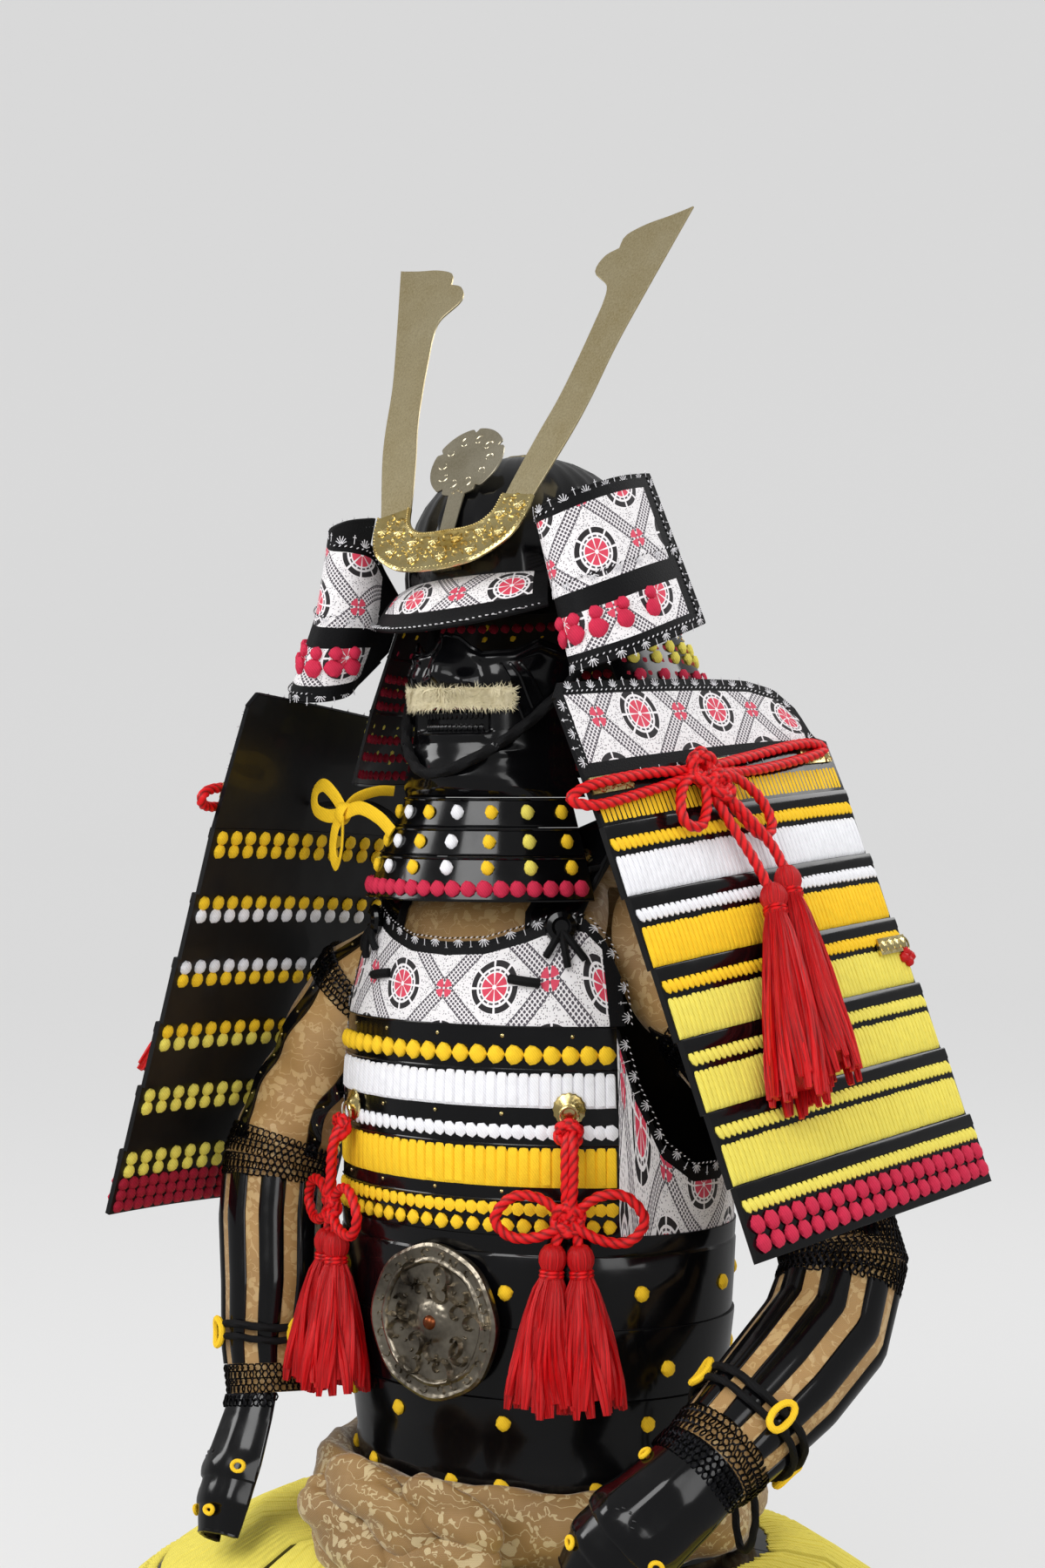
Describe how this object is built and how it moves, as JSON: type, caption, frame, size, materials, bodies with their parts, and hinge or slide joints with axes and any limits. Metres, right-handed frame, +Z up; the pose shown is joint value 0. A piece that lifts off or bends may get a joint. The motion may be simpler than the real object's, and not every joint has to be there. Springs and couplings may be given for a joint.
{
  "type": "samurai armour",
  "caption": "Worn suit of samurai armour without its wearer: horned helmet, face mask, laced cuirass, shoulder guards, armoured sleeves, sash and skirt.",
  "frame": {"origin": "between the tops of the two shoulder straps, where the wearer's shoulders carry the armour", "axes": "+Z up, the armour faces -Y, the wearer's left is +X"},
  "size_m": [0.8662, 0.4992, 1.2424],
  "materials": {
    "black_lacquer": "high gloss lacquer",
    "stencilled_leather": "printed doe leather, matt",
    "gilt_brass": "pierced and gilt, polished",
    "brass": "brushed",
    "silvered_brass": "polished",
    "silk_lacing": "braided silk in rows of white, amber and lemon",
    "lemon_lacing": "braided silk",
    "black_cord": "matt",
    "brocade": "woven brocade",
    "dark_bronze": "cast and darkened",
    "cream_fur": "short fur",
    "red_silk": "twisted silk"
  },
  "bodies": {
    "root": {"helmet_bowl": "black_lacquer", "neck_guard_1": "black_lacquer", "neck_guard_2": "black_lacquer", "neck_guard_3": "black_lacquer", "mask": "black_lacquer", "throat_lame_1": "black_lacquer", "throat_lame_2": "black_lacquer", "throat_lame_3": "black_lacquer", "back_board": "black_lacquer", "waist_lame_1": "black_lacquer", "waist_lame_2": "black_lacquer", "waist_lame_3": "black_lacquer", "forearm_l": "black_lacquer", "forearm_r": "black_lacquer", "hand_guard_l": "black_lacquer", "hand_guard_r": "black_lacquer", "visor": "stencilled_leather", "turnback_l": "stencilled_leather", "turnback_r": "stencilled_leather", "chest_board": "stencilled_leather", "side_board_l": "stencilled_leather", "side_board_r": "stencilled_leather", "sode_l_crown": "stencilled_leather", "sode_r_crown": "stencilled_leather", "horn_holder": "gilt_brass", "horn_l": "brass", "horn_r": "brass", "crest_disc": "silvered_brass", "chest_lames": "silk_lacing", "sode_l_1": "silk_lacing", "sode_l_2": "silk_lacing", "sode_l_3": "silk_lacing", "sode_l_4": "silk_lacing", "sode_l_5": "silk_lacing", "sode_l_6": "silk_lacing", "sode_r_1": "silk_lacing", "sode_r_2": "silk_lacing", "sode_r_3": "silk_lacing", "sode_r_4": "silk_lacing", "sode_r_5": "silk_lacing", "sode_r_6": "silk_lacing", "skirt_front": "lemon_lacing", "skirt_side_l": "lemon_lacing", "skirt_side_r": "lemon_lacing", "skirt_back_l": "lemon_lacing", "skirt_back_r": "lemon_lacing", "strap_l": "black_cord", "strap_r": "black_cord", "chin_cord": "black_cord", "yoke": "brocade", "sleeve_l": "brocade", "sleeve_r": "brocade", "sash_band": "brocade", "sash_knot": "brocade", "mirror": "dark_bronze", "moustache": "cream_fur", "tassel_front_l": "red_silk", "tassel_front_r": "red_silk", "tassel_sode_l": "red_silk", "tassel_sode_r": "red_silk"}
  },
  "joints": []
}
